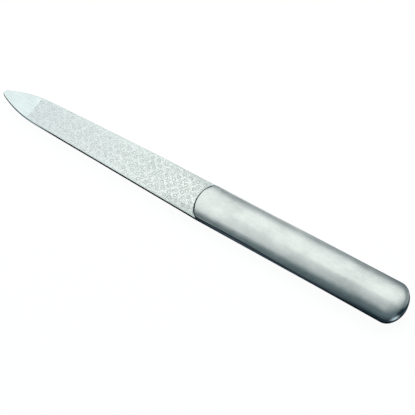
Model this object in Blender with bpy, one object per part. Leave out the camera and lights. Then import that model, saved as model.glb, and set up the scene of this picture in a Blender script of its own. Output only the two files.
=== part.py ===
# A stainless steel nail file at its real size, in metres.
# X runs from the pointed tip to the butt of the handle, Y across the blade, and Z up.
# The origin lies under the middle of the file, on the surface that the file lies on.

import math

import bmesh
import bpy

# Blade: one flat strip from the tip to the butt, whose rear half is the tang in the handle
overall_length = 0.175
blade_thickness = 0.0011
edge_break = 0.0001
nose_radius = 0.00135
shoulder_from_tip = 0.0188
shoulder_width = 0.0114
handle_end_width = 0.0164
butt_width = 0.0168

# Ground and polished point of the blade
polished_length = 0.0144
point_thickness = 0.0008

# Abrasive coats bonded to both faces of the blade
coat_thickness = 0.0001
coat_side_margin = 0.0004
coat_handle_gap = 0.0003

# Handle: two pressed half shells, one on each face of the tang
handle_side_length = 0.0820
bow_depth = 0.0041
butt_depth = 0.0060
shell_wall = 0.0005
bow_edge_radius = 0.0003
crown_height_front = 0.0020
crown_height_butt = 0.0036
tang_step_front = 0.00045
tang_step_butt = 0.00015
section_exponent = 2.2

# Soldered seams between the shells' rims and the tang
seam_thickness = 0.0002
seam_width = 0.0003
seam_recess = 0.0001

# How finely the round shapes are divided
nose_steps = 8
tip_arc_steps = 16
butt_steps = 12
bow_steps = 27          # odd, so that the crown ends in a flat facet and the file lies still
bow_edge_steps = 3
shell_body_steps = 8
sharp_angle = math.radians(30)
bevel_angle = math.radians(60)
bow_edge_share = 0.5
merge_share = 0.01

# Places that several pieces share
tip_x = -overall_length / 2
butt_x = overall_length / 2
handle_x = butt_x - handle_side_length
butt_round_x = butt_x - butt_depth
blade_mid_z = max(crown_height_front, crown_height_butt) + blade_thickness / 2
merge_distance = min(seam_thickness, coat_thickness) * merge_share


# Centre and radius of the arc that joins the straight taper to the round nose.
def tip_arc():
    shoulder_x = tip_x + shoulder_from_tip
    nose_x = tip_x + nose_radius
    rise = (handle_end_width - shoulder_width) / 2
    run = handle_x - shoulder_x
    slant = math.hypot(rise, run)
    inward = (rise / slant, -run / slant)
    offset = (shoulder_x - nose_x, shoulder_width / 2)
    square = offset[0] ** 2 + offset[1] ** 2
    along = inward[0] * offset[0] + inward[1] * offset[1]
    radius = (nose_radius ** 2 - square) / (2 * (along + nose_radius))
    centre = (shoulder_x + radius * inward[0], shoulder_width / 2 + radius * inward[1])
    return centre, radius


# Points along an arc of a circle or an ellipse, both ends included.
def arc_points(centre, radii, first, last, steps):
    angles = [first + (last - first) * i / steps for i in range(steps + 1)]
    return [(centre[0] + radii[0] * math.cos(angle), centre[1] + radii[1] * math.sin(angle))
            for angle in angles]


# The far half of the blade's outline, from the nose to the butt.
def blade_half_outline():
    centre, radius = tip_arc()
    nose = (tip_x + nose_radius, 0)
    nose_angle = math.atan2(nose[1] - centre[1], nose[0] - centre[0]) % math.tau
    shoulder = (tip_x + shoulder_from_tip, shoulder_width / 2)
    shoulder_angle = math.atan2(shoulder[1] - centre[1], shoulder[0] - centre[0])
    points = arc_points(nose, (nose_radius, nose_radius), math.pi, nose_angle, nose_steps)
    points += arc_points(centre, (radius, radius), nose_angle, shoulder_angle, tip_arc_steps)[1:]
    points.append((handle_x, handle_end_width / 2))
    points += arc_points((butt_round_x, 0), (butt_depth, butt_width / 2), math.pi / 2, 0, butt_steps)
    return points


# Half the blade's width at a place between the polished point and the handle.
def blade_half_width(x):
    shoulder_x = tip_x + shoulder_from_tip
    if x < shoulder_x:
        centre, radius = tip_arc()
        return centre[1] + math.sqrt(radius ** 2 - (x - centre[0]) ** 2)
    share = (x - shoulder_x) / (handle_x - shoulder_x)
    return (shoulder_width + (handle_end_width - shoulder_width) * share) / 2


# How far a place is along the handle: 0 at its front corners, 1 where the butt rounds off.
def handle_share(x):
    return (x - handle_x) / (butt_round_x - handle_x)


# Half the width of a shell at its rim, on the straight stretch of the handle.
def rim_half_width(x):
    front = handle_end_width / 2 - tang_step_front
    butt = butt_width / 2 - tang_step_butt
    return front + (butt - front) * handle_share(x)


# Height of a shell above its rim, along its crown.
def crown_above_rim(x):
    height = crown_height_front + (crown_height_butt - crown_height_front) * handle_share(x)
    return height - seam_thickness


# How far across and how far up a section reaches, as shares of its half width and height.
# The facet or the edge at the middle of the section lies at the full height.
def section_shares(column):
    angle = math.pi * (column / bow_steps - 0.5)
    middle = math.pi / 2 * (bow_steps % 2) / bow_steps
    power = 2 / section_exponent
    across = math.copysign(abs(math.sin(angle)) ** power, angle)
    up = (math.cos(angle) / math.cos(middle)) ** power if 0 < column < bow_steps else 0
    return across, up


# Place of the bowed front edge along X, at a share of the half width.
def bow_x(across, inset):
    return handle_x + inset - bow_depth * math.sqrt(max(0, 1 - across ** 2))


# Place and height scale of each row round the butt, where the shell is a quarter ellipse.
def butt_rows(inset):
    depth = butt_depth - tang_step_butt - inset
    for row in range(1, butt_steps + 1):
        angle = math.pi / 2 * row / butt_steps
        yield butt_round_x + depth * math.sin(angle), math.cos(angle) if row < butt_steps else 0


# Points of one skin of a shell in rows across the handle: up the front wall, over its
# rounded edge, along the crown and down round the butt. Heights are above the rim.
def skin_rows(inset):
    shares = [section_shares(column) for column in range(bow_steps + 1)]

    def point(x, across, up, drop=0):
        half_width = rim_half_width(x) - inset
        height = crown_above_rim(x) - inset
        return x, half_width * across, height * up - drop

    edges = []
    for across, up in shares:
        x = bow_x(across, inset)
        height = point(x, across, up)[2]
        edges.append((x, across, up, min(bow_edge_radius, height * bow_edge_share)))
    rows = [[(x, point(x, across, up)[1], 0) for x, across, up, radius in edges]]
    for step in range(bow_edge_steps + 1):
        angle = math.pi / 2 * step / bow_edge_steps
        rows.append([point(x + radius * (1 - math.cos(angle)), across, up, radius * (1 - math.sin(angle)))
                     for x, across, up, radius in edges])
    for step in range(1, shell_body_steps + 1):
        share = step / shell_body_steps
        rows.append([point(x + radius + (butt_round_x - x - radius) * share, across, up)
                     for x, across, up, radius in edges])
    half_width = rim_half_width(butt_round_x) - inset
    height = crown_above_rim(butt_round_x) - inset
    for x, scale in butt_rows(inset):
        rows.append([(x, half_width * across * scale, height * up * scale) for across, up in shares])
    return rows


# The rim's outline in plan, once round, set in from the outside by an inset.
def rim_outline(inset):
    shares = [section_shares(column)[0] for column in range(bow_steps + 1)]
    bow = []
    for across in shares:
        x = bow_x(across, inset)
        bow.append((x, (rim_half_width(x) - inset) * across))
    half_width = rim_half_width(butt_round_x) - inset
    butt = [(x, half_width * scale) for x, scale in butt_rows(inset)]
    return (bow + [(butt_round_x, half_width)] + butt
            + [(x, -y) for x, y in reversed(butt[:-1])] + [(butt_round_x, -half_width)])


# A Principled material in one metal's colour.
def metal(name, colour, roughness, metallic):
    material = bpy.data.materials.new(name)
    material.use_nodes = True
    shader = material.node_tree.nodes["Principled BSDF"]
    shader.inputs["Base Color"].default_value = (*colour, 1)
    shader.inputs["Roughness"].default_value = roughness
    shader.inputs["Metallic"].default_value = metallic
    return material


# Turns a finished mesh into a named object, smooth on its round faces.
def add_piece(name, shape, material):
    bmesh.ops.remove_doubles(shape, verts=shape.verts, dist=merge_distance)
    bmesh.ops.recalc_face_normals(shape, faces=shape.faces)
    mesh = bpy.data.meshes.new(name)
    shape.to_mesh(mesh)
    shape.free()
    mesh.shade_smooth()
    mesh.set_sharp_from_angle(angle=sharp_angle)
    mesh.materials.append(material)
    piece = bpy.data.objects.new(name, mesh)
    bpy.context.collection.objects.link(piece)
    return piece


# A flat plate of one outline between two heights.
def plate(outline, low_z, high_z):
    shape = bmesh.new()
    face = shape.faces.new([shape.verts.new((x, y, low_z)) for x, y in outline])
    top = bmesh.ops.extrude_face_region(shape, geom=[face])
    raised = [item for item in top["geom"] if isinstance(item, bmesh.types.BMVert)]
    bmesh.ops.translate(shape, verts=raised, vec=(0, 0, high_z - low_z))
    return shape


# The strip: tip, blade and full-length tang in one piece, ground thinner towards the point.
def file_blade():
    half = blade_half_outline()
    outline = half + [(x, -y) for x, y in reversed(half[1:-1])]
    half_thickness = blade_thickness / 2
    shape = plate(outline, -half_thickness, half_thickness)
    grind_x = tip_x + polished_length
    bmesh.ops.bisect_plane(shape, geom=shape.verts[:] + shape.edges[:] + shape.faces[:],
                           dist=merge_distance, plane_co=(grind_x, 0, 0), plane_no=(1, 0, 0))
    for vert in shape.verts:
        share = max(0, (grind_x - vert.co.x) / polished_length)
        vert.co.z *= 1 + (point_thickness / blade_thickness - 1) * share
    bmesh.ops.translate(shape, verts=shape.verts, vec=(0, 0, blade_mid_z))
    blade = add_piece("file_blade", shape, metal("blade_steel", (0.76, 0.79, 0.79), 0.22, 1))
    bevel = blade.modifiers.new("edge_break", "BEVEL")
    bevel.width = edge_break
    bevel.segments = 1
    bevel.limit_method = "ANGLE"
    bevel.angle_limit = bevel_angle


# One coat of grit: from the polished point back to just short of the handle's bowed front.
def abrasive_coat(name, side, colour):
    start_x = tip_x + polished_length
    arc_end_x = max(start_x, tip_x + shoulder_from_tip)
    corner_x = handle_x - coat_handle_gap
    rear_width = blade_half_width(corner_x) - coat_side_margin
    bow_width = rim_half_width(handle_x) + coat_handle_gap
    side_edge = []
    for step in range(tip_arc_steps + 1):
        x = start_x + (arc_end_x - start_x) * step / tip_arc_steps
        side_edge.append((x, blade_half_width(x) - coat_side_margin))
    rear_edge = []
    for step in range(bow_steps + 1):
        y = rear_width * math.cos(math.pi * step / bow_steps)
        back = math.sqrt(max(0, 1 - (y / bow_width) ** 2))
        rear_edge.append((handle_x - (bow_depth + coat_handle_gap) * back, y))
    outline = side_edge + rear_edge + [(x, -y) for x, y in reversed(side_edge)]
    low_z = blade_thickness / 2
    shape = plate(outline, low_z, low_z + coat_thickness)
    place_on_tang(shape, side)
    add_piece(name, shape, metal(name + "_grit", colour, 0.55, 0.8))


# Sets a shape built above the blade's middle plane on its upper (1) or lower (-1) side.
def place_on_tang(shape, side):
    for vert in shape.verts:
        vert.co.z = blade_mid_z + side * vert.co.z


# One pressed half shell: an outer and an inner skin, joined by a flat rim.
def handle_shell(name, side):
    shape = bmesh.new()
    rim_z = blade_thickness / 2 + seam_thickness
    outer, inner = [[[shape.verts.new((x, y, rim_z + z)) for x, y, z in row] for row in skin_rows(inset)]
                    for inset in (0, shell_wall)]
    for rows in (outer, inner):
        for near, far in zip(rows, rows[1:]):
            for column in range(bow_steps):
                shape.faces.new((near[column], near[column + 1], far[column + 1], far[column]))
    for column in range(bow_steps):
        shape.faces.new((outer[0][column], outer[0][column + 1], inner[0][column + 1], inner[0][column]))
    for row in range(len(outer) - 1):
        for column in (0, bow_steps):
            shape.faces.new((outer[row][column], outer[row + 1][column],
                             inner[row + 1][column], inner[row][column]))
    place_on_tang(shape, side)
    add_piece(name, shape, metal(name + "_steel", (0.70, 0.72, 0.72), 0.34, 1))


# The thin line of solder that joins one shell's rim to the tang, once round the handle.
def solder_seam(name, side):
    shape = bmesh.new()
    low_z = blade_thickness / 2
    outlines = [rim_outline(seam_recess), rim_outline(seam_recess + seam_width)]
    loops = [[shape.verts.new((x, y, z)) for x, y in outline]
             for outline, z in ((outlines[0], low_z), (outlines[0], low_z + seam_thickness),
                                (outlines[1], low_z + seam_thickness), (outlines[1], low_z))]
    count = len(outlines[0])
    for first, second in zip(loops, loops[1:] + loops[:1]):
        for i in range(count):
            after = (i + 1) % count
            shape.faces.new((first[i], first[after], second[after], second[i]))
    place_on_tang(shape, side)
    add_piece(name, shape, metal(name + "_solder", (0.20, 0.22, 0.23), 0.5, 1))


for old in list(bpy.data.objects):
    bpy.data.objects.remove(old, do_unlink=True)

file_blade()
abrasive_coat("coarse_abrasive_coat", 1, (0.62, 0.65, 0.65))
abrasive_coat("fine_abrasive_coat", -1, (0.66, 0.69, 0.69))
handle_shell("upper_handle_shell", 1)
handle_shell("lower_handle_shell", -1)
solder_seam("upper_solder_seam", 1)
solder_seam("lower_solder_seam", -1)
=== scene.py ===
import math
import random

import bmesh
import bpy
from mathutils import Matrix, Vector


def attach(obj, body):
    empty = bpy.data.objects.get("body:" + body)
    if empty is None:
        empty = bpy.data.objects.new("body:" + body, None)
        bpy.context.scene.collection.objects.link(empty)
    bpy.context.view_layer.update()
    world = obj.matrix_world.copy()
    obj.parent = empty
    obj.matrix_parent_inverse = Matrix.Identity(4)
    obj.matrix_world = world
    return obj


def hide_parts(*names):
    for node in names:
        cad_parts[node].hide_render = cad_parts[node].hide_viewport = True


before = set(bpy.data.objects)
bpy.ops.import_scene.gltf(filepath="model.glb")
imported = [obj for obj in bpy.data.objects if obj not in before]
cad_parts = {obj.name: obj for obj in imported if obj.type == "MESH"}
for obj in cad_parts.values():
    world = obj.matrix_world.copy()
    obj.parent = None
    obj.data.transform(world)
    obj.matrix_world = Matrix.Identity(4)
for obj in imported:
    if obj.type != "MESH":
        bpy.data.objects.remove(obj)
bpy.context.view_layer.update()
bpy.ops.object.select_all(action="DESELECT")   # the loaded nodes arrive selected
print("frame loaded:", ", ".join(sorted(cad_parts)))


# modelling helpers: every place is in metres, in the frame of the file
def applyPlace():
    bpy.ops.object.transform_apply(location=True, rotation=True, scale=True)


def selectAll():
    bpy.ops.mesh.select_all(action="SELECT")


def startEdit():
    bpy.ops.object.mode_set(mode="EDIT")
    selectAll()


def endEdit():
    bpy.ops.object.mode_set(mode="OBJECT")


def editMesh():
    return bmesh.from_edit_mesh(bpy.context.edit_object.data)


def showEdit(shape):
    shape.select_flush(True)
    bmesh.update_edit_mesh(bpy.context.edit_object.data)


def selectNone(mode):
    bpy.ops.mesh.select_mode(type=mode)
    bpy.ops.mesh.select_all(action="DESELECT")


# selects the vertices whose place passes the test
def selectPlaces(test):
    selectNone("VERT")
    shape = editMesh()
    for vert in shape.verts:
        vert.select = test(vert.co)
    showEdit(shape)


# selects the faces whose normal and middle pass the test
def selectFaces(test):
    selectNone("FACE")
    for face in editMesh().faces:
        if test(face.normal, face.calc_center_median()):
            face.select_set(True)
    bmesh.update_edit_mesh(bpy.context.edit_object.data)


# sets the selected row of vertices on its places, matched by their order across the file
def setRow(places, order=lambda place: place[1]):
    shape = editMesh()
    row = sorted((vert for vert in shape.verts if vert.select), key=lambda vert: order(vert.co))
    for vert, place in zip(row, sorted(places, key=order), strict=True):
        vert.co = place
    showEdit(shape)


# extrudes the selected row once and sets the new one on its places
def extrudeRow(places, order=lambda place: place[1]):
    bpy.ops.mesh.extrude_edges_move(TRANSFORM_OT_translate={"value": (0, 0, 0)})
    setRow(places, order)


def mergeAndTurnOut(distance):
    selectAll()
    bpy.ops.mesh.remove_doubles(threshold=distance)
    bpy.ops.mesh.normals_make_consistent(inside=False)


# closes the gap between the two open rims of a mesh
def bridgeRims():
    selectNone("EDGE")
    bpy.ops.mesh.select_non_manifold(extend=False, use_wire=False, use_boundary=True,
                                     use_multi_face=False, use_non_contiguous=False, use_verts=False)
    bpy.ops.mesh.bridge_edge_loops()
    selectAll()
    bpy.ops.mesh.normals_make_consistent(inside=False)


def chooseOnly(piece):
    bpy.ops.object.select_all(action="DESELECT")
    piece.select_set(True)
    bpy.context.view_layer.objects.active = piece


def joinPieces(piece, others):
    chooseOnly(piece)
    for other in others:
        other.select_set(True)
    bpy.ops.object.join()


def smoothPiece(piece, degrees):
    chooseOnly(piece)
    bpy.ops.object.shade_smooth_by_angle(angle=math.radians(degrees))


def joinCADFrame(piece, slotName, *nodes):
    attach(piece, "root")
    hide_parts(*nodes)


def between(first, last, share):
    return first + (last - first) * share


# evenly spaced shares that end at 1, without the 0
def steps(count):
    return [step / count for step in range(1, count + 1)]


# sRGB hex to the linear colour that Blender's sockets hold
def linearColour(hexCode):
    channels = [int(hexCode[i:i + 2], 16) / 255 for i in (1, 3, 5)]
    return [c / 12.92 if c <= 0.04045 else ((c + 0.055) / 1.055) ** 2.4 for c in channels] + [1]


# a node stands for its first output in use, and an output for itself
def outputOf(source):
    if isinstance(source, bpy.types.Node):
        return next(output for output in source.outputs if output.enabled)
    return source


# settings are a node's properties or socket values, where a tuple of sockets takes a tuple of values and a
# text is a hex colour; links feed its sockets. A Mix node's socket 0 is the share, 2 and 3 are its values,
# 6 and 7 its colours
def setNode(tree, node, settings=(), links=()):
    for key, value in dict(settings).items():
        if isinstance(key, str) and hasattr(node, key):
            setattr(node, key, value)
            continue
        for socket, part in zip(key, value) if isinstance(key, tuple) else [(key, value)]:
            node.inputs[socket].default_value = linearColour(part) if isinstance(part, str) else part
    for key, source in dict(links).items():
        tree.links.new(outputOf(source), node.inputs[key])
    return node


def addNode(tree, kind, settings=(), links=()):
    return setNode(tree, tree.nodes.new("ShaderNode" + kind), settings, links)


fromEnds, toEnds = ("From Min", "From Max"), ("To Min", "To Max")


def startMaterial(name):
    material = bpy.data.materials.new(name)
    material.use_nodes = True
    return material, material.node_tree, material.node_tree.nodes["Principled BSDF"]


# the photograph's view, as fitted to the outlines of the file
viewpoint = {
    "azimuth": 31.74,
    "elevation": 61.6,
    "distance": 0.4514,
    "target": (0.00625, -0.00174, 0.00415),
    "focalPixels": 1226.2,
    "picturePixels": 415,
    "sensorWidth": 36,
    "clipStart": 0.01,
}


def placeCamera():
    azimuth = math.radians(viewpoint["azimuth"])
    elevation = math.radians(viewpoint["elevation"])
    back = Vector((math.sin(azimuth) * math.cos(elevation),
                   -math.cos(azimuth) * math.cos(elevation), math.sin(elevation)))
    data = bpy.data.cameras.new("productCamera")
    data.sensor_width = viewpoint["sensorWidth"]
    data.lens = viewpoint["focalPixels"] / viewpoint["picturePixels"] * data.sensor_width
    data.clip_start = viewpoint["clipStart"]
    camera = bpy.data.objects.new("productCamera", data)
    bpy.context.collection.objects.link(camera)
    camera.location = Vector(viewpoint["target"]) + back * viewpoint["distance"]
    camera.rotation_euler = (-back).to_track_quat("-Z", "Y").to_euler()
    bpy.context.scene.camera = camera


placeCamera()
print("camera placed")


# white paper floor, one large soft lamp overhead, a low card behind, a dim room
studio = {
    "floorSize": 8.0,
    "floorHex": "#F9F9F9",
    "seenFloorHex": "#666666",  # what camera and mirror rays see of the lit paper, under the plain white
    "seenFloorWhite": 0.93,
    "skyHeight": 1.1,
    "skyBeyond": 0.75,          # how far the lamp's middle lies beyond the file, seen from the camera
    "skySize": (3.4, 1.3),
    "skyLevel": 1.3,            # brightness of the lamp's face, where 1 is white
    "cardBeyond": 3.2,
    "cardHeight": 0.7,
    "cardSize": (5.0, 1.4),
    "cardLevel": 0.4,
    "roomHex": "#5E757E",
    "roomLevel": 1.0,
}


def softLamp(name, beyond, height, size, level, turn):
    data = bpy.data.lights.new(name, "AREA")
    data.shape = "RECTANGLE"
    data.size, data.size_y = size
    data.energy = math.pi * size[0] * size[1] * level
    lamp = bpy.data.objects.new(name, data)
    bpy.context.collection.objects.link(lamp)
    lamp.location = beyond + Vector((0, 0, height))
    lamp.rotation_euler = turn
    lamp.visible_camera = False


# even, no gloss: keeps a soft shadow
def matteWhitePaper():
    material, tree, shader = startMaterial("matteWhitePaper")
    tree.nodes.remove(shader)
    path = addNode(tree, "LightPath").outputs
    seen = addNode(tree, "Math", {"operation": "ADD"}, {0: path["Is Camera Ray"], 1: path["Is Glossy Ray"]})
    seen = addNode(tree, "Math", {"operation": "ADD", "use_clamp": True}, {0: seen, 1: path["Is Transmission Ray"]})
    paper = addNode(tree, "BsdfDiffuse", {"Color": studio["floorHex"]})
    litPaper = addNode(tree, "BsdfDiffuse", {"Color": studio["seenFloorHex"]})
    white = addNode(tree, "Emission", {"Color": (1, 1, 1, 1), "Strength": studio["seenFloorWhite"]})
    seenPaper = addNode(tree, "AddShader", {}, {0: litPaper, 1: white})
    mixed = addNode(tree, "MixShader", {}, {0: seen, 1: paper, 2: seenPaper})
    setNode(tree, tree.nodes["Material Output"], {}, {"Surface": mixed})
    return material


def buildStage():
    bpy.ops.mesh.primitive_plane_add(size=studio["floorSize"], location=(0, 0, 0))
    floor = bpy.context.object
    floor.name = "paperFloor"
    floor.data.materials.append(matteWhitePaper())

    azimuth = math.radians(viewpoint["azimuth"])    # the lamps stand square to the camera
    beyond = Vector((-math.sin(azimuth), math.cos(azimuth), 0))
    softLamp("overheadSoftbox", beyond * studio["skyBeyond"], studio["skyHeight"], studio["skySize"],
             studio["skyLevel"], (0, 0, azimuth))
    softLamp("farCard", beyond * studio["cardBeyond"], studio["cardHeight"], studio["cardSize"],
             studio["cardLevel"], (-math.pi / 2, 0, azimuth))

    world = bpy.data.worlds.new("dimRoom")
    bpy.context.scene.world = world
    world.use_nodes = True
    setNode(world.node_tree, world.node_tree.nodes["Background"],
            {"Color": studio["roomHex"], "Strength": studio["roomLevel"]})
    bpy.context.scene.view_settings.view_transform = "Standard"


buildStage()
print("stage built")


# shared sizes of the file: as in the CAD, and the last three adjusted to the photograph
fileShape = {
    "length": 0.175,
    "bladeThickness": 0.0011,
    "bladeMiddleZ": 0.00415,
    "noseRadius": 0.00135,
    "shoulderFromTip": 0.0188,
    "shoulderWidth": 0.0114,
    "handleEndWidth": 0.0164,
    "buttWidth": 0.0168,
    "polishedLength": 0.0144,
    "handleSideLength": 0.0820,
    "bowDepth": 0.0041,
    "buttDepth": 0.0060,
    "tangStepFront": 0.00045,
    "tangStepButt": 0.00015,
    "shellPinch": 0.00020,              # the shells are this much narrower on each side near the bow
    "pinchFade": (0.022, 0.048),
    "solderReach": (0.00028, 0.00078),  # how far the solder spreads in front of the bow, at -Y and at +Y
}

tipX = -fileShape["length"] / 2
buttX = fileShape["length"] / 2
handleX = buttX - fileShape["handleSideLength"]
buttRoundX = buttX - fileShape["buttDepth"]
shoulderX = tipX + fileShape["shoulderFromTip"]
noseX = tipX + fileShape["noseRadius"]
coatFrontX = tipX + fileShape["polishedLength"]
middleZ = fileShape["bladeMiddleZ"]
mergeDistance = 0.000002


def smoothShare(value, low, high):
    share = min(1, max(0, (value - low) / (high - low)))
    return share * share * (3 - 2 * share)


# rises from 0 to 1 between the first two values and falls back between the last two
def bandShare(value, first, full, last, gone):
    return smoothShare(value, first, full) * (1 - smoothShare(value, last, gone))


# 0 at the handle's front corners and below 0 in the bow, 1 from where the butt starts to round
def handleShare(x):
    return min(1, (x - handleX) / (buttRoundX - handleX))


# the long curve between the round nose and the straight taper: centre, radius and where it meets the nose
def tipCurve():
    nose = fileShape["noseRadius"]
    rise = (fileShape["handleEndWidth"] - fileShape["shoulderWidth"]) / 2
    run = handleX - shoulderX
    slant = math.hypot(rise, run)
    inward = (rise / slant, -run / slant)
    offset = (shoulderX - noseX, fileShape["shoulderWidth"] / 2)
    square = offset[0] ** 2 + offset[1] ** 2
    along = inward[0] * offset[0] + inward[1] * offset[1]
    radius = (nose ** 2 - square) / (2 * (along + nose))
    centre = (shoulderX + radius * inward[0], offset[1] + radius * inward[1])
    return centre, radius, noseX + nose * (noseX - centre[0]) / math.hypot(noseX - centre[0], centre[1])


# half the width of the strip anywhere from the nose to the butt
def stripHalfWidth(x):
    centre, radius, joinX = tipCurve()
    if x <= joinX:
        return math.sqrt(max(0, fileShape["noseRadius"] ** 2 - (x - noseX) ** 2))
    if x <= shoulderX:
        return centre[1] + math.sqrt(radius ** 2 - (x - centre[0]) ** 2)
    if x <= handleX:
        share = (x - shoulderX) / (handleX - shoulderX)
        return between(fileShape["shoulderWidth"], fileShape["handleEndWidth"], share) / 2
    if x <= buttRoundX:
        return between(fileShape["handleEndWidth"], fileShape["buttWidth"], handleShare(x)) / 2
    return fileShape["buttWidth"] / 2 * math.sqrt(max(0, 1 - ((x - buttRoundX) / fileShape["buttDepth"]) ** 2))


# half the width of a shell's rim in front of the round butt
def shellHalfWidth(x):
    front = fileShape["handleEndWidth"] / 2 - fileShape["tangStepFront"]
    rear = fileShape["buttWidth"] / 2 - fileShape["tangStepButt"]
    pinch = fileShape["shellPinch"] * (1 - smoothShare(x, *fileShape["pinchFade"]))
    return between(front, rear, handleShare(x)) - pinch


def solderReach(y):
    return between(*fileShape["solderReach"], 0.5 + y / fileShape["handleEndWidth"])


# mirrors the selected mesh to the lower side of the strip and turns its faces back out
def turnOver():
    bpy.ops.transform.resize(value=(1, 1, -1), center_override=(0, 0, middleZ))
    bpy.ops.mesh.flip_normals()


# the scale of a pattern that is long along the file and narrow across it
def stretched(size):
    return (1 / size[0], 1 / size[1], 1 / size[1])


handleFinish = {
    "tones": ("#B4B8B4", "#F6F6EF"),
    # painted shade: the dark navy painted on the shells' flanks, butt and bow line
    "paintedShadeHex": "#07242B",
    "paintedHighlightHex": "#DCF2FC",       # painted highlight: a pale blue tint on the spot at the butt's near corner
    "shadeTintHex": "#D2EBFF",    # painted shade turns the steel bluish before it turns dark
    "grazingHex": "#BFCBD3",
    "roughness": (0.36, 0.47),
    "patterns": (               # size along and across the file, and the noise's settings
        ((0.006, 0.0004), {"Scale": 1.0, "Detail": 3.0, "Roughness": 0.6}),     # brush lines, really 0.05 mm apart
        ((0.012, 0.008), {"Scale": 1.0, "Detail": 6.0, "Roughness": 0.72}),     # smudges
        ((0.03, 0.006), {"Scale": 1.0, "Detail": 1.0}),         # the hand-held belt leaves long shallow waves
    ),
    "streakShare": 0.3,
    "smudgeRange": (0.28, 0.72),
    "shadeHold": (0.95, 1.0),   # the painted shade is a little weaker on the darker smudges
    "brushDepth": 0.0000016,
    "waveDepth": 0.00006,
}


# stainless steel, satin brushed along the handle: broad soft highlights with wavy borders,
# faint streaks and smudges, and steep flanks darkened with painted shade down to the joint
def satinBrushedStainless():
    finish = handleFinish
    material, tree, shader = startMaterial("satinBrushedStainless")
    place = addNode(tree, "TexCoord").outputs["Object"]
    patterns = []
    for size, noise in finish["patterns"]:
        scaled = addNode(tree, "Mapping", {"Scale": stretched(size)}, {"Vector": place})
        patterns.append(addNode(tree, "TexNoise", noise, {"Vector": scaled}))
    streaks, smudges, waves = patterns
    blotches = addNode(tree, "MapRange", {fromEnds: finish["smudgeRange"]}, {"Value": smudges})
    tone = addNode(tree, "Mix", {"data_type": "FLOAT", 0: finish["streakShare"]}, {2: blotches, 3: streaks})
    steel = addNode(tree, "Mix", {"data_type": "RGBA", (6, 7): finish["tones"]}, {0: tone})
    # painted highlight: a pale blue tint laid on the spot at the butt's near corner
    film = addNode(tree, "Attribute", {"attribute_name": "film"}).outputs["Fac"]
    steel = addNode(tree, "Mix", {"data_type": "RGBA", 7: finish["paintedHighlightHex"]}, {0: film, 6: steel})
    # painted shade, stored on the shell's points, darkens the steel first bluish and then to dark navy
    residue = addNode(tree, "Attribute", {"attribute_name": "residue"}).outputs["Fac"]
    patchy = addNode(tree, "MapRange", {toEnds: finish["shadeHold"]}, {"Value": blotches})
    shadeShare = addNode(tree, "Math", {"operation": "MULTIPLY", "use_clamp": True}, {0: residue, 1: patchy})
    shadeTint = addNode(tree, "Math", {"operation": "MULTIPLY"}, {0: shadeShare, 1: shadeShare})
    steel = addNode(tree, "Mix", {"data_type": "RGBA", "blend_type": "MULTIPLY", 7: finish["shadeTintHex"]},
                    {0: shadeTint, 6: steel})
    colour = addNode(tree, "Mix", {"data_type": "RGBA", 7: finish["paintedShadeHex"]}, {0: shadeShare, 6: steel})
    rough = addNode(tree, "MapRange", {toEnds: finish["roughness"]}, {"Value": tone})
    relief = addNode(tree, "Bump", {"Distance": finish["waveDepth"]}, {"Height": waves})
    relief = addNode(tree, "Bump", {"Distance": finish["brushDepth"]}, {"Height": streaks, "Normal": relief})
    setNode(tree, shader, {"Metallic": 1.0, "Specular Tint": finish["grazingHex"]},
            {"Base Color": colour, "Roughness": rough, "Normal": relief})
    return material


edgeGreying = {"colourHex": "#8C948F", "most": 0.40, "towardsHandle": (-0.018, -0.003), "towardsEdge": (0.0042, 0.0078)}


# greyer along the blade's edges just before the handle
def greyedNearHandle(tree, place, colour):
    parts = addNode(tree, "SeparateXYZ", {}, {0: place}).outputs
    aside = addNode(tree, "Math", {"operation": "ABSOLUTE"}, {0: parts["Y"]})
    along = addNode(tree, "MapRange", {fromEnds: edgeGreying["towardsHandle"], "To Max": edgeGreying["most"]}, {"Value": parts["X"]})
    across = addNode(tree, "MapRange", {fromEnds: edgeGreying["towardsEdge"]}, {"Value": aside})
    share = addNode(tree, "Math", {"operation": "MULTIPLY"}, {0: along, 1: across})
    return addNode(tree, "Mix", {"data_type": "RGBA", 7: edgeGreying["colourHex"]}, {0: share, 6: colour})


bladeFinish = {
    "tones": ("#B0BAB7", "#DAE2DE"),
    "roughness": (0.18, 0.32),
    "lineSize": (0.006, 0.0004),
    "lineTurn": 8,              # degrees away from the length of the file
    "lineNoise": {"Scale": 1.0, "Detail": 2.0},
    "lineShare": 0.5,
    "lineDepth": 0.000002,
    "cloudNoise": {"Scale": 1 / 0.006, "Detail": 3.0},
    "toneRange": (0.2, 0.8),
}


# stainless steel, ground and polished with felt: brighter and smoother than the handle,
# with faint polishing lines towards the point
def feltPolishedStainless():
    material, tree, shader = startMaterial("feltPolishedStainless")
    place = addNode(tree, "TexCoord").outputs["Object"]
    layout = {"Scale": stretched(bladeFinish["lineSize"]), "Rotation": (0, 0, math.radians(bladeFinish["lineTurn"]))}
    scaled = addNode(tree, "Mapping", layout, {"Vector": place})
    lines = addNode(tree, "TexNoise", bladeFinish["lineNoise"], {"Vector": scaled})
    clouds = addNode(tree, "TexNoise", bladeFinish["cloudNoise"], {"Vector": place})
    tone = addNode(tree, "Mix", {"data_type": "FLOAT", 0: bladeFinish["lineShare"]}, {2: clouds, 3: lines})
    tone = addNode(tree, "MapRange", {fromEnds: bladeFinish["toneRange"]}, {"Value": tone})
    colour = addNode(tree, "Mix", {"data_type": "RGBA", (6, 7): bladeFinish["tones"]}, {0: tone})
    colour = greyedNearHandle(tree, place, colour)
    rough = addNode(tree, "MapRange", {toEnds: bladeFinish["roughness"]}, {"Value": tone})
    relief = addNode(tree, "Bump", {"Distance": bladeFinish["lineDepth"]}, {"Height": lines})
    setNode(tree, shader, {"Metallic": 1.0}, {"Base Color": colour, "Roughness": rough, "Normal": relief})
    return material


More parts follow.
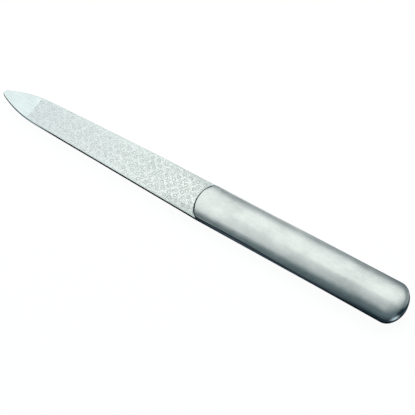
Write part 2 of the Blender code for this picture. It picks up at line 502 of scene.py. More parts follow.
edgeFinish = {
    # painted shade: the edge walls are painted nearly black, and the grazing tint keeps them dark
    "tones": ("#0B1925", "#1D2E3C"),
    "brighter": (               # tone, places where it starts and is full, fades and is gone, and what is left
        ("#B4BDBF", (-0.0600, -0.0680), (-0.0720, -0.0800), 0.1),   # the felt reaches round the edge behind the point
        ("#55626B", (0.0000, 0.0180), (0.0500, 0.0700), 0.0),       # along the front half of the handle
    ),
    "grazingHex": "#46586C",
    "roughness": (0.42, 0.6),
    "roughRange": (0.3, 0.7),
    "tearScale": (2000, 2000, 300),     # upright marks, 0.5 mm apart
    "tearDetail": 3.0,
    "tearDepth": 0.000006,
}


# stainless steel, blanked in a press and left as sheared: dull, with upright tear marks and painted shade that
# makes the edge walls nearly black, lighter where the felt reached it and along the front of the handle
def shearedStainless():
    material, tree, shader = startMaterial("shearedStainless")
    place = addNode(tree, "TexCoord").outputs["Object"]
    scaled = addNode(tree, "Mapping", {"Scale": edgeFinish["tearScale"]}, {"Vector": place})
    tears = addNode(tree, "TexNoise", {"Scale": 1.0, "Detail": edgeFinish["tearDetail"]}, {"Vector": scaled})
    alongX = addNode(tree, "SeparateXYZ", {}, {0: place}).outputs["X"]
    colour = addNode(tree, "Mix", {"data_type": "RGBA", (6, 7): edgeFinish["tones"]}, {0: tears})
    for toneHex, start, fade, least in edgeFinish["brighter"]:
        rise = addNode(tree, "MapRange", {fromEnds: start}, {"Value": alongX})
        fall = addNode(tree, "MapRange", {fromEnds: fade, toEnds: (1.0, least)}, {"Value": alongX})
        share = addNode(tree, "Math", {"operation": "MULTIPLY"}, {0: rise, 1: fall})
        colour = addNode(tree, "Mix", {"data_type": "RGBA", 7: toneHex}, {0: share, 6: colour})
    rough = addNode(tree, "MapRange", {fromEnds: edgeFinish["roughRange"], toEnds: edgeFinish["roughness"]},
                    {"Value": tears})
    relief = addNode(tree, "Bump", {"Distance": edgeFinish["tearDepth"]}, {"Height": tears})
    setNode(tree, shader, {"Metallic": 1.0, "Specular Tint": edgeFinish["grazingHex"]},
            {"Base Color": colour, "Roughness": rough, "Normal": relief})
    return material


solderFinish = {
    "tones": ("#2A3034", "#474E53"),
    "roughness": (0.45, 0.7),
    "roughRange": (0.3, 0.7),
    "grainNoise": {"Scale": 1 / 0.0008, "Detail": 4.0},
    "grainHeight": 0.00002,
}


# tin solder, tarnished and full of polishing dirt: a dull dark line with a few brighter spots
def tarnishedSolder():
    material, tree, shader = startMaterial("tarnishedSolder")
    place = addNode(tree, "TexCoord").outputs["Object"]
    grain = addNode(tree, "TexNoise", solderFinish["grainNoise"], {"Vector": place})
    colour = addNode(tree, "Mix", {"data_type": "RGBA", (6, 7): solderFinish["tones"]}, {0: grain})
    rough = addNode(tree, "MapRange", {fromEnds: solderFinish["roughRange"], toEnds: solderFinish["roughness"]},
                    {"Value": grain})
    relief = addNode(tree, "Bump", {"Distance": solderFinish["grainHeight"]}, {"Height": grain})
    setNode(tree, shader, {"Metallic": 1.0}, {"Base Color": colour, "Roughness": rough, "Normal": relief})
    return material


# what the coats' finishes share: the ranges of their patterns that count as valley, dirt, wear and dull cloud
gritPattern = {
    "valley": (0.15, 0.7),
    "dirt": (0.38, 0.66),
    "wear": (0.35, 0.6),
    "dull": (0.4, 0.7),
    "dullMost": 0.7,
    "clumps": {"Detail": 3.0, "Roughness": 0.65},
    "clouds": {"Detail": 3.0, "Roughness": 0.7},
}


# hard grit bonded to the steel and nickel plated: matt and pale, with darker specks between
# the grains, duller towards the point and rougher in tone towards the handle
def platedGrit(name, finish):
    material, tree, shader = startMaterial(name)
    place = addNode(tree, "TexCoord").outputs["Object"]
    grains = addNode(tree, "TexVoronoi", {"Scale": 1 / finish["grainSize"]}, {"Vector": place})
    clumps = addNode(tree, "TexNoise", {"Scale": 1 / finish["clumpSize"], **gritPattern["clumps"]}, {"Vector": place})
    clouds = addNode(tree, "TexNoise", {"Scale": 1 / finish["cloudSize"], **gritPattern["clouds"]}, {"Vector": place})
    valley = addNode(tree, "MapRange", {fromEnds: gritPattern["valley"]}, {"Value": grains})
    dirt = addNode(tree, "MapRange", {fromEnds: gritPattern["dirt"]}, {"Value": clumps})
    tone = addNode(tree, "Mix", {"data_type": "FLOAT", 0: finish["clumpShare"]}, {2: valley, 3: dirt})
    alongX = addNode(tree, "SeparateXYZ", {}, {0: place}).outputs["X"]
    toHandle = addNode(tree, "MapRange", {fromEnds: (coatFrontX, handleX)}, {"Value": alongX})
    depth = addNode(tree, "MapRange", {"To Min": finish["frontContrast"]}, {"Value": toHandle})
    worn = addNode(tree, "MapRange", {fromEnds: gritPattern["wear"], "To Min": finish["wornContrast"]},
                   {"Value": clouds})
    depth = addNode(tree, "Math", {"operation": "MULTIPLY"}, {0: depth, 1: worn})
    based = addNode(tree, "MapRange", {"To Min": finish["leastShade"]}, {"Value": tone})
    shade = addNode(tree, "Math", {"operation": "MULTIPLY"}, {0: based, 1: depth})
    bright = addNode(tree, "Mix", {"data_type": "RGBA", (6, 7): finish["tones"]}, {0: toHandle})
    grit = addNode(tree, "Mix", {"data_type": "RGBA", 7: finish["darkHex"]}, {0: shade, 6: bright})
    dull = addNode(tree, "MapRange", {fromEnds: gritPattern["dull"], "To Max": gritPattern["dullMost"]},
                   {"Value": clouds})
    colour = addNode(tree, "Mix", {"data_type": "RGBA", 7: finish["dullHex"]}, {0: dull, 6: grit})
    colour = greyedNearHandle(tree, place, colour)
    rough = addNode(tree, "MapRange", {toEnds: finish["roughness"]}, {"Value": tone})
    height = addNode(tree, "Math", {"operation": "SUBTRACT", 0: 1.0}, {1: shade})
    relief = addNode(tree, "Bump", {"Distance": finish["grainHeight"]}, {"Height": height})
    setNode(tree, shader, {"Metallic": 1.0}, {"Base Color": colour, "Roughness": rough, "Normal": relief})
    return material


coarseGritFinish = {
    "tones": ("#CDD1D1", "#F7F6F1"), "darkHex": "#9BA69C", "dullHex": "#D3D8D3", "roughness": (0.26, 0.5),
    "leastShade": 0.0, "frontContrast": 0.4, "wornContrast": 0.75,
    "grainSize": 0.00045,       # real grains are near 0.1 mm; drawn four times coarser to show
    "clumpSize": 0.00045, "clumpShare": 0.5, "cloudSize": 0.010, "grainHeight": 0.000014,
}
ringGritFinish = {
    "tones": ("#CFD6D4", "#E9EDE9"), "darkHex": "#6D7871", "dullHex": "#CED4D0", "roughness": (0.38, 0.55),
    "leastShade": 0.6, "frontContrast": 0.14, "wornContrast": 0.55,
    "grainSize": 0.0004, "clumpSize": 0.0005, "clumpShare": 0.5, "cloudSize": 0.006, "grainHeight": 0.00001,
}
fineGritFinish = {
    "tones": ("#D2D9D7", "#F4F8F4"), "darkHex": "#A7B1AB", "dullHex": "#D8DEDA", "roughness": (0.34, 0.48),
    "leastShade": 0.0, "frontContrast": 0.6, "wornContrast": 0.8,
    "grainSize": 0.0004,        # real grains are near 0.06 mm
    "clumpSize": 0.0005, "clumpShare": 0.4, "cloudSize": 0.011, "grainHeight": 0.00001,
}
print("materials ready")


# the blade is one blanked strip from the nose to the butt, ground thinner at the point
bladeSizes = {
    "pointThickness": 0.0008,
    "edgeRoll": 0.000155,       # blanking rolls the upper edge over
    "edgeBreak": 0.00003,
    "noseRows": 14,
    "curveRows": 34,
    "buttRows": 20,
    "trim": (-0.025, 0.008, 0.026, 0.058),      # where the +Y edge is set back, as bandShare takes it
    "trimRows": 24,
    "farLedge": 0.0001,         # what the full trim leaves of the tang outside the shells
    "unpolished": 0.0009,       # the sheared finish starts this far before the handle's sides
    "rowDigits": 7,             # rows are told apart by their rounded place along the file
    "rowSlack": 0.0000002,
    "levelNormal": 0.9,         # a face is level when its normal has more Z than this
    "steepNormal": 0.8,         # and a wall or a roll when it has less than this
    "smoothAngle": 20,
}


# half the width on the +Y side: the edge is set back there to follow the outline in the photograph
def farHalfWidth(x):
    at = max(x, handleX)
    depth = stripHalfWidth(at) - shellHalfWidth(at) - bladeSizes["farLedge"]
    return stripHalfWidth(x) - depth * bandShare(x, *bladeSizes["trim"])


def buildBlade():
    lowZ = middleZ - fileShape["bladeThickness"] / 2
    taperMiddleX = (shoulderX + handleX) / 2
    frontWidth, rearWidth = stripHalfWidth(shoulderX), stripHalfWidth(handleX)
    bpy.ops.mesh.primitive_plane_add(size=1, location=(taperMiddleX, 0, lowZ))
    blade = bpy.context.object
    blade.name = blade.data.name = "fileBlade"
    bpy.ops.transform.resize(value=(handleX - shoulderX, 2 * rearWidth, 1))
    applyPlace()
    startEdit()
    selectPlaces(lambda place: place.x < taperMiddleX)
    bpy.ops.transform.resize(value=(1, frontWidth / rearWidth, 1), center_override=(shoulderX, 0, lowZ))

    def extrudeStrip(rows):
        for x in rows:
            extrudeRow([(x, -stripHalfWidth(x), lowZ), (x, stripHalfWidth(x), lowZ)])

    joinX = tipCurve()[2]
    nose, butt = fileShape["noseRadius"], fileShape["buttDepth"]
    lastTurn = math.acos((noseX - joinX) / nose)
    extrudeStrip([between(shoulderX, joinX, share) for share in steps(bladeSizes["curveRows"])])
    extrudeStrip([noseX - nose * math.cos(lastTurn * (1 - share)) for share in steps(bladeSizes["noseRows"])])
    selectPlaces(lambda place: place.x > handleX - mergeDistance)
    extrudeStrip([buttRoundX])
    extrudeStrip([buttRoundX + butt * math.sin(math.pi / 2 * share) for share in steps(bladeSizes["buttRows"])])

    selectAll()
    bpy.ops.mesh.remove_doubles(threshold=mergeDistance)
    trimFrom, trimTo = bladeSizes["trim"][0], bladeSizes["trim"][3]
    for step in range(bladeSizes["trimRows"]):
        selectAll()
        rowX = between(trimFrom, trimTo, step / bladeSizes["trimRows"])
        bpy.ops.mesh.bisect(plane_co=(rowX, 0, 0), plane_no=(1, 0, 0))
    selectPlaces(lambda place: place.y > 0 and trimFrom < place.x < trimTo)
    for vert in editMesh().verts:
        if vert.select:
            vert.co.y = farHalfWidth(vert.co.x)
    bpy.ops.mesh.bisect(plane_co=(coatFrontX, 0, 0), plane_no=(1, 0, 0))
    selectAll()
    bpy.ops.mesh.extrude_region_move(TRANSFORM_OT_translate={"value": (0, 0, fileShape["bladeThickness"])})
    groundRows = {round(vert.co.x, bladeSizes["rowDigits"]) for vert in editMesh().verts
                  if vert.co.x < coatFrontX - mergeDistance}
    for x in sorted(groundRows):    # thinner row by row towards the point
        share = (coatFrontX - x) / fileShape["polishedLength"]
        thinner = between(1, bladeSizes["pointThickness"] / fileShape["bladeThickness"], share)
        selectPlaces(lambda place: abs(place.x - x) < bladeSizes["rowSlack"])
        bpy.ops.transform.resize(value=(1, 1, thinner), center_override=(x, 0, middleZ))
    mergeAndTurnOut(mergeDistance)
    endEdit()

    blade.data.materials.append(feltPolishedStainless())
    blade.data.materials.append(shearedStainless())
    startEdit()
    level, steep = bladeSizes["levelNormal"], bladeSizes["steepNormal"]
    selectFaces(lambda normal, middle: abs(normal.z) > level and not noseX < middle.x < buttRoundX)
    bpy.ops.mesh.dissolve_faces()       # cross lines on the round ends would fold the roll over
    for side, width in ((1, bladeSizes["edgeRoll"]), (-1, bladeSizes["edgeBreak"])):
        selectFaces(lambda normal, middle: normal.z * side > level)
        bpy.ops.mesh.region_to_loop()
        bpy.ops.mesh.bevel(offset=width, segments=1, affect="EDGES")
    selectFaces(lambda normal, middle: normal.z > level)
    tangX = handleX - bladeSizes["unpolished"]
    bpy.ops.mesh.bisect(plane_co=(tangX, 0, 0), plane_no=(1, 0, 0))
    selectFaces(lambda normal, middle: abs(normal.z) < steep or (normal.z > 0 and middle.x > tangX))
    blade.active_material_index = 1     # the sheared finish with painted shade: walls, rolls and the tang's top
    bpy.ops.object.material_slot_assign()
    endEdit()
    smoothPiece(blade, bladeSizes["smoothAngle"])
    joinCADFrame(blade, "blade_steel", "file_blade")


buildBlade()
print("blade built")


# an abrasive layer is bonded to each face, set with rows of small raised rings
coarseCoat = {
    "name": "coarseAbrasiveCoat", "node": "coarse_abrasive_coat", "slot": "coarse_grit", "side": 1,
    "bedHeight": 0.00007,
    "ringHeight": (0.000004, 0.00002), "ringRadius": 0.00074, "ringBand": 0.00024, "ringSides": 16,
    "pitch": 0.00285, "rowPitch": 0.00185, "scatter": 0.0004, "edgeRoom": 0.0012, "seed": 7,
}
fineCoat = {
    "name": "fineAbrasiveCoat", "node": "fine_abrasive_coat", "slot": "fine_grit", "side": -1,
    "bedHeight": 0.00007,
    "ringHeight": (0.000004, 0.000015), "ringRadius": 0.00052, "ringBand": 0.00022, "ringSides": 12,
    "pitch": 0.0019, "rowPitch": 0.00125, "scatter": 0.00015, "edgeRoom": 0.0008, "seed": 11,
}
coatSizes = {
    "sideMargin": 0.0004,
    "handleGap": 0.0003,
    "rows": 40,
    "columns": 32,
    "edgeBreak": 0.00003,
    "breakSegments": 2,
    "breakAngle": 60,
    "frontTaper": 0.1,          # the plating thins out at its mask
    "ringSink": 0.000001,
    "ringSizes": (0.88, 1.08),
    "smoothAngle": 25,
}


# where the coat ends before the bowed handle, at a place across the file
def coatRearX(y):
    bowWidth = shellHalfWidth(handleX) + coatSizes["handleGap"]
    return handleX - (fileShape["bowDepth"] + solderReach(y)) * math.sqrt(max(0, 1 - (y / bowWidth) ** 2))


def coatRow(share, z):
    places = []
    for column in range(coatSizes["columns"] + 1):
        across = -math.cos(math.pi * column / coatSizes["columns"])
        halfWidth = farHalfWidth if across > 0 else stripHalfWidth
        rearY = across * (halfWidth(handleX - coatSizes["handleGap"]) - coatSizes["sideMargin"])
        x = between(coatFrontX, coatRearX(rearY), share)
        places.append((x, across * (halfWidth(x) - coatSizes["sideMargin"]), z))
    return places


# one raised ring: a disc inset up to its crest, along the crest and down again, a third of the band each,
# then opened in the middle and closed below; its foot is sunk a little into the bed
def buildRing(coat, bedZ):
    slope = coat["ringBand"] / 3
    rise = coat["ringHeight"][1] + coatSizes["ringSink"]
    bpy.ops.mesh.primitive_circle_add(vertices=coat["ringSides"], radius=coat["ringRadius"], fill_type="NGON",
                                      location=(0, 0, bedZ - coatSizes["ringSink"]))
    ring = bpy.context.object
    applyPlace()
    startEdit()
    for depth in (rise, 0, -rise):
        bpy.ops.mesh.inset(thickness=slope, depth=depth)
    bpy.ops.mesh.delete(type="ONLY_FACE")
    bridgeRims()
    endEdit()
    return ring


def ringPlaces(coat):
    dice = random.Random(coat["seed"])
    places = []
    rowCount = int(fileShape["handleEndWidth"] / 2 / coat["rowPitch"])
    for row in range(-rowCount, rowCount + 1):
        x = coatFrontX + coat["edgeRoom"] + (coat["pitch"] / 2 if row % 2 else 0)
        while x < handleX:
            spotX = x + dice.uniform(-coat["scatter"], coat["scatter"])
            spotY = row * coat["rowPitch"] + dice.uniform(-coat["scatter"], coat["scatter"])
            inWidth = abs(spotY) < stripHalfWidth(spotX) - coatSizes["sideMargin"] - coat["edgeRoom"]
            if inWidth and spotX < coatRearX(spotY) - coat["ringRadius"]:
                places.append((spotX, spotY))
            x += coat["pitch"]
    return places


def buildBed(coat, baseZ):
    first = coatRow(0, baseZ)
    bpy.ops.mesh.primitive_grid_add(x_subdivisions=1, y_subdivisions=coatSizes["columns"],
                                    size=fileShape["handleEndWidth"], location=(coatFrontX, 0, baseZ))
    bed = bpy.context.object
    bed.name = bed.data.name = coat["name"]
    applyPlace()
    startEdit()
    selectPlaces(lambda place: place.x > coatFrontX)
    bpy.ops.mesh.delete(type="VERT")
    selectAll()
    setRow(first)
    for share in steps(coatSizes["rows"]):
        extrudeRow(coatRow(share, baseZ))
    selectAll()
    bpy.ops.mesh.extrude_region_move(TRANSFORM_OT_translate={"value": (0, 0, coat["bedHeight"])})
    mergeAndTurnOut(mergeDistance)
    endEdit()
    bevel = bed.modifiers.new("edgeBreak", "BEVEL")
    bevel.width = coatSizes["edgeBreak"]
    bevel.segments = coatSizes["breakSegments"]
    bevel.limit_method = "ANGLE"
    bevel.angle_limit = math.radians(coatSizes["breakAngle"])
    bpy.ops.object.modifier_apply(modifier="edgeBreak")
    startEdit()
    selectPlaces(lambda place: place.x < coatFrontX + 2 * coatSizes["edgeBreak"])
    bpy.ops.transform.resize(value=(1, 1, coatSizes["frontTaper"]), center_override=(0, 0, baseZ))
    endEdit()
    return bed


# a coat is built about the height 0, then lifted to the middle of the strip
def buildCoat(coat, bedMaterial, ringMaterial):
    baseZ = fileShape["bladeThickness"] / 2
    bedZ = baseZ + coat["bedHeight"]
    bed = buildBed(coat, baseZ)
    ring = buildRing(coat, bedZ)
    for piece in (bed, ring):
        piece.data.materials.append(bedMaterial)
        piece.data.materials.append(ringMaterial)
    for face in ring.data.polygons:
        face.material_index = 1
    dice = random.Random(coat["seed"] + 1)
    copies = []
    for x, y in ringPlaces(coat):
        copy = ring.copy()
        copy.data = ring.data.copy()
        size = dice.uniform(*coatSizes["ringSizes"])
        toHandle = (x - coatFrontX) / (handleX - coatFrontX)
        crest = between(coat["ringHeight"][0] / coat["ringHeight"][1], 1, toHandle)     # worn flat towards the point
        for vert in copy.data.vertices:
            height = vert.co.z - bedZ
            vert.co = (vert.co.x * size + x, vert.co.y * size + y, bedZ + height * (crest if height > 0 else 1))
        bpy.context.collection.objects.link(copy)
        copies.append(copy)
    bpy.data.objects.remove(ring)
    joinPieces(bed, copies)

    startEdit()
    bpy.ops.transform.translate(value=(0, 0, middleZ))
    if coat["side"] < 0:
        turnOver()
    endEdit()
    smoothPiece(bed, coatSizes["smoothAngle"])
    joinCADFrame(bed, coat["slot"], coat["node"])
    print(coat["name"], "built with", len(copies), "rings")


ringGrit = platedGrit("platedGritRing", ringGritFinish)
buildCoat(coarseCoat, platedGrit("platedCoarseGrit", coarseGritFinish), ringGrit)
buildCoat(fineCoat, platedGrit("platedFineGrit", fineGritFinish), ringGrit)


# the handle is two pressed half shells, hollow and open towards the tang
handleSizes = {
    "crownFront": 0.0020,
    "crownButt": 0.0036,
    "sectionPower": 2.2,
    "buttFullness": 0.75,       # below 1 the crown stays high until close to the end
    "wall": 0.0005,
    "bowEdgeRadius": 0.0006,
    "paintedLineRow": 0.0005,         # ends the painted dark line behind the bow's edge
    "seamThickness": 0.0002,
    "archSteps": 64,
    "edgeRows": 8,
    "bodyRows": 14,
    "buttRows": 28,
    "smoothAngle": 50,
}


# how high a skin's crown stands over its rim in front of the round butt
def crownHeight(x, inset):
    crown = between(handleSizes["crownFront"], handleSizes["crownButt"], handleShare(x))
    return crown - handleSizes["seamThickness"] - inset


# the places of one row of a skin, from -Y to +Y; heights are above the rim
def archPlaces(rowX, rowScale, rowDrop, inset, rimZ):
    places = []
    power = 2 / handleSizes["sectionPower"]
    for step in range(handleSizes["archSteps"] + 1):
        angle = math.pi * (step / handleSizes["archSteps"] - 0.5)
        across = math.copysign(abs(math.sin(angle)) ** power, angle)
        up = max(0, math.cos(angle)) ** power if 0 < step < handleSizes["archSteps"] else 0
        x = rowX(across, up)
        height = crownHeight(x, inset) * up
        rise = height * rowScale ** handleSizes["buttFullness"] - rowDrop(height)
        places.append((x, (shellHalfWidth(x) - inset) * across * rowScale, rimZ + max(0, rise)))
    return places


# all rows of one skin: up the bowed front wall, over its rounded edge, along the crown, down the butt
def skinRows(inset, rimZ):
    rows = []

    def bow(across):
        return handleX + inset - fileShape["bowDepth"] * math.sqrt(max(0, 1 - across ** 2))

    def edgeRadius(height):
        return min(handleSizes["bowEdgeRadius"], height / 2)

    def edgeDepth(across, up):
        return edgeRadius(crownHeight(bow(across), inset) * up)

    def addRow(rowX, rowScale=1, rowDrop=lambda height: 0):
        rows.append(archPlaces(rowX, rowScale, rowDrop, inset, rimZ))

    addRow(lambda across, up: bow(across), rowDrop=lambda height: height)
    for share in [0] + steps(handleSizes["edgeRows"]):
        angle = math.pi / 2 * share
        addRow(lambda across, up: bow(across) + edgeDepth(across, up) * (1 - math.cos(angle)),
               rowDrop=lambda height: edgeRadius(height) * (1 - math.sin(angle)))
    addRow(lambda across, up: bow(across) + edgeDepth(across, up) + handleSizes["paintedLineRow"])
    for share in steps(handleSizes["bodyRows"]):
        addRow(lambda across, up: between(bow(across) + edgeDepth(across, up), buttRoundX, share))
    depth = fileShape["buttDepth"] - fileShape["tangStepButt"] - inset
    for share in steps(handleSizes["buttRows"]):
        angle = math.pi / 2 * share
        addRow(lambda across, up: buttRoundX + depth * math.sin(angle), max(0, math.cos(angle)))
    return rows


# one skin: an arch of the handle's section, extruded back row by row to the butt
def buildSkin(inset, rimZ):
    rows = skinRows(inset, rimZ)
    bpy.ops.mesh.primitive_circle_add(vertices=2 * handleSizes["archSteps"], radius=fileShape["handleEndWidth"] / 2,
                                      location=(handleX, 0, rimZ), rotation=(0, math.pi / 2, 0))
    skin = bpy.context.object
    applyPlace()
    startEdit()
    selectPlaces(lambda place: place.z < rimZ - mergeDistance)
    bpy.ops.mesh.delete(type="VERT")
    selectAll()
    setRow(rows[0])
    for row in rows[1:]:
        extrudeRow(row)
    mergeAndTurnOut(mergeDistance)
    endEdit()
    return skin


# where painted shade darkens a shell, and how much: dark reflections painted on the flanks and the butt, and a dark
# line behind the bow. Along and Across are places along and across the file, Tilt is how many degrees a place leans
# from level, and Turn the direction that it faces, in degrees from 0 at the butt to 90 at the -Y flank
paintedShadePlan = {
    "nearAlong": (0.010, 0.060), "nearTilt": (38, 24), "nearFullTilt": 68,
    "near": 0.45, "nearMore": ((0.43, (0.008, 0.016)), (0.12, (0.020, 0.070))),
    "shadeEased": 0.07, "shadeEasedAlong": (0.028, 0.036, 0.064, 0.074), "shadeEasedTilt": (36, 52),
    "shadePatch": 0.11, "shadePatchAlong": (0.013, 0.020, 0.027, 0.036), "shadePatchTilt": (1.2, 2.5, 8, 14),
    "shadeBand": 0.17, "shadeBandTilt": (12, 18, 28, 36), "shadeBandShift": 6,
    "streak": 0.20, "streakTilt": (2, 5, 9, 15),
    "farAlong": (0.035, 0.060), "farButtAlong": (0.060, 0.080),
    "far": (0.50, 0.93), "farTilt": (12, 4), "farFullTilt": 55,
    "farBand": 0.12, "farBandTilt": (7, 12, 20, 28), "farRim": 0.32, "farRimTilt": (50, 66),
    "buttTilt": 22, "buttSpan": 24,
    "crescentTurn": 20, "besideCrescent": (6, 22), "besideTilt": 12, "farCornerTurn": (2, 14), "farCornerTilt": 6,
    "lighterCorner": 0.3, "lighterCornerTurn": (-4, 20), "lighterCornerTilt": (46, 58),
    "bowAcross": (0.0015, 0.0045), "bowTilt": (18, 2), "bowFullTilt": (40, 14),
    "bowLine": 0.8, "bowLineAcross": (0.0028, 0.0048), "bowLineWidth": (0.0006, 0.0011),
    "highlightSpot": 0.95, "highlightSpotPlace": (0.0866, -0.0057), "highlightSpotDirection": (0.74, 0.67), "highlightSpotStretch": 0.6,
    "highlightSpotSize": (0.0021, 0.0003),
}


# 1 in the middle of the painted highlight spot at the butt's near corner, where the painted shade is taken off, 0
# outside it
def highlightSpotShare(place):
    along, size = Vector(paintedShadePlan["highlightSpotDirection"]), paintedShadePlan["highlightSpotSize"]
    offset = Vector((place.x, place.y)) - Vector(paintedShadePlan["highlightSpotPlace"])
    spot = math.hypot(paintedShadePlan["highlightSpotStretch"] * offset.dot(along), offset.cross(along))
    return smoothShare(-spot, -size[0], -size[1])


# how much painted shade darkens the -Y flank at a place with this tilt
def nearPaintedShade(x, tilt):
    plan = paintedShadePlan
    rear = smoothShare(x, *plan["nearAlong"])
    most = plan["near"] + sum(more * smoothShare(x, *along) for more, along in plan["nearMore"])
    shift = plan["shadeBandShift"] * rear
    start, full, fade, gone = plan["shadeBandTilt"]
    share = most * smoothShare(tilt, between(*plan["nearTilt"], rear), plan["nearFullTilt"])
    share -= plan["shadeEased"] * bandShare(x, *plan["shadeEasedAlong"]) * smoothShare(tilt, *plan["shadeEasedTilt"])
    share += plan["shadePatch"] * bandShare(x, *plan["shadePatchAlong"]) * bandShare(tilt, *plan["shadePatchTilt"])
    share += plan["shadeBand"] * bandShare(tilt, start + shift, full + shift, fade, gone)
    return share + plan["streak"] * rear * bandShare(tilt, *plan["streakTilt"])


def farPaintedShade(x, tilt):
    plan = paintedShadePlan
    rear, butt = smoothShare(x, *plan["farAlong"]), smoothShare(x, *plan["farButtAlong"])
    front = plan["farBand"] * bandShare(tilt, *plan["farBandTilt"])
    front += plan["farRim"] * smoothShare(tilt, *plan["farRimTilt"])
    full = between(*plan["far"], butt) * smoothShare(tilt, between(*plan["farTilt"], butt), plan["farFullTilt"])
    return between(front, full, rear)


def buttPaintedShade(turn, tilt):
    plan = paintedShadePlan
    start = plan["buttTilt"] + plan["farCornerTilt"] * smoothShare(-turn, *plan["farCornerTurn"])
    start += plan["besideTilt"] * smoothShare(abs(turn - plan["crescentTurn"]), *plan["besideCrescent"])
    lighterCorner = smoothShare(-turn, *plan["lighterCornerTurn"]) * (1 - smoothShare(tilt, *plan["lighterCornerTilt"]))
    return smoothShare(tilt, start, start + plan["buttSpan"]) * (1 - plan["lighterCorner"] * lighterCorner)


# the painted shade at any place of a shell: each side counts by how much the place faces it
def paintedShadeAt(place, normal):
    plan = paintedShadePlan
    tilt = math.degrees(math.acos(min(1, abs(normal.z))))
    level = Vector((normal.x, normal.y)).normalized() if tilt > 1 else Vector((0, 0))
    turn = math.degrees(math.atan2(-level.y, level.x))
    far = smoothShare(place.y, *plan["bowAcross"])
    bow = smoothShare(tilt, between(*plan["bowTilt"], far), between(*plan["bowFullTilt"], far))
    share = nearPaintedShade(place.x, tilt) * max(0, -level.y) ** 2 + farPaintedShade(place.x, tilt) * max(0, level.y) ** 2
    share += buttPaintedShade(turn, tilt) * max(0, level.x) ** 2 + bow * max(0, -level.x) ** 2
    # a dark line of painted shade behind the bow's edge
    bowX = handleX - fileShape["bowDepth"] * math.sqrt(max(0, 1 - (place.y / shellHalfWidth(handleX)) ** 2))
    inLine = 1 - smoothShare(place.x - bowX, *plan["bowLineWidth"])
    share = max(share, plan["bowLine"] * smoothShare(place.y, *plan["bowLineAcross"]) * inLine)
    # the painted shade is taken off where the painted highlight is
    return min(1, share) * (1 - plan["highlightSpot"] * highlightSpotShare(place))


def buildShell():
    rimZ = middleZ + fileShape["bladeThickness"] / 2 + handleSizes["seamThickness"]
    outer = buildSkin(0, rimZ)
    attributes = outer.data.attributes
    # painted shade and painted highlight, stored on the outer skin's points
    for name in ("residue", "film"):
        attributes.new(name, "FLOAT", "POINT")
    for vert in outer.data.vertices:
        attributes["residue"].data[vert.index].value = paintedShadeAt(vert.co, vert.normal)
        attributes["film"].data[vert.index].value = highlightSpotShare(vert.co)
    inner = buildSkin(handleSizes["wall"], rimZ)
    startEdit()
    bpy.ops.mesh.flip_normals()         # towards the hollow
    endEdit()
    joinPieces(outer, [inner])
    startEdit()
    bridgeRims()
    endEdit()
    return outer


def buildHandle():
    upper = buildShell()
    upper.name = upper.data.name = "upperHandleShell"
    upper.data.materials.append(satinBrushedStainless())
    lower = upper.copy()
    lower.data = upper.data.copy()
    lower.name = lower.data.name = "lowerHandleShell"
    bpy.context.collection.objects.link(lower)
    chooseOnly(lower)
    startEdit()
    turnOver()
    endEdit()
    for shell, node in ((upper, "upper_handle_shell"), (lower, "lower_handle_shell")):
        smoothPiece(shell, handleSizes["smoothAngle"])
        joinCADFrame(shell, "handle_steel", node)


buildHandle()
print("handle built")


# a fillet of solder runs round each shell's rim on the tang
seamSizes = {
    "inside": 0.0004,
    "ledgeNear": 0.45,          # the share of the tang's ledge that the fillet covers
    "ledgeFar": (0.16, 0.12),
    "ledgeFade": (0.018, 0.045),
    "wallHeight": 0.00032,
    "wallSink": 0.00002,
    "curve": ((1, 0), (0.62, 0.06), (0.3, 0.2), (0.08, 0.6)),   # shares of the reach and of the wall's height
    "smoothAngle": 60,
}


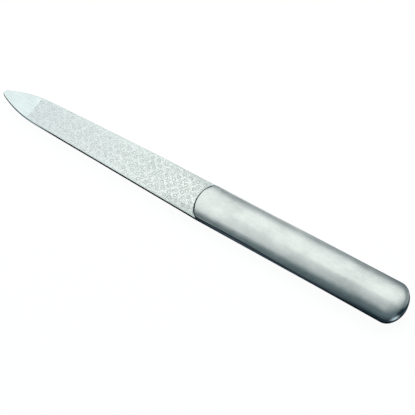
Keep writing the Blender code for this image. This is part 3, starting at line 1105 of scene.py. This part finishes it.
# the rim of a shell in plan, once round, with how far the fillet may reach out over the tang
def rimPlan():
    rows = skinRows(0, 0)
    bow = [place[:2] for place in rows[0]]
    near, far = ([row[end][:2] for row in rows[handleSizes["edgeRows"] + 1:]] for end in (0, -1))
    outline = list(reversed(bow)) + near[1:] + list(reversed(far[1:-1]))
    plan = []
    for i, (x, y) in enumerate(outline):
        before, after = outline[i - 1], outline[(i + 1) % len(outline)]
        across = Vector((after[1] - before[1], before[0] - after[0])).normalized()
        if across.dot(Vector((x - (handleX + buttX) / 2, y))) < 0:
            across = -across
        ledge = between(fileShape["tangStepFront"], fileShape["tangStepButt"], max(0, handleShare(x)))
        farShare = between(*seamSizes["ledgeFar"], smoothShare(x, *seamSizes["ledgeFade"]))
        reach = ledge * (farShare if y > 0 else seamSizes["ledgeNear"])
        if x < handleX:     # it spreads over the blade in front of the bow
            reach += (solderReach(y) - reach) * math.sqrt((handleX - x) / fileShape["bowDepth"])
        if across.y > 0:
            reach = min(reach, (farHalfWidth(x) - bladeSizes["edgeBreak"] - y) / across.y)
        plan.append((x, y, across, reach))
    return plan


def buildSeam(name, node, side, material):
    tangZ = middleZ + fileShape["bladeThickness"] / 2
    plan = rimPlan()
    centreX = (handleX + buttX) / 2
    inside = -seamSizes["inside"]
    profile = [(inside, 0, 0)] + [(0, share, height) for share, height in seamSizes["curve"]]
    profile += [(-seamSizes["wallSink"], 0, 1), (inside, 0, handleSizes["seamThickness"] / seamSizes["wallHeight"])]

    def loop(offset, share, height):
        return [(x + across.x * (offset + share * reach), y + across.y * (offset + share * reach),
                 tangZ + height * seamSizes["wallHeight"]) for x, y, across, reach in plan]

    def turn(place):
        return math.atan2(place[1], place[0] - centreX)

    bpy.ops.mesh.primitive_circle_add(vertices=len(plan), radius=fileShape["handleEndWidth"] / 2,
                                      location=(centreX, 0, tangZ))
    seam = bpy.context.object
    seam.name = seam.data.name = name
    applyPlace()
    startEdit()
    setRow(loop(*profile[0]), turn)
    for point in profile[1:] + profile[:1]:
        extrudeRow(loop(*point), turn)
    mergeAndTurnOut(mergeDistance / 2)
    if side < 0:
        turnOver()
    endEdit()
    seam.data.materials.append(material)
    smoothPiece(seam, seamSizes["smoothAngle"])
    joinCADFrame(seam, "solder", node)


solder = tarnishedSolder()
buildSeam("upperSolderSeam", "upper_solder_seam", 1, solder)
buildSeam("lowerSolderSeam", "lower_solder_seam", -1, solder)
print("seams built")
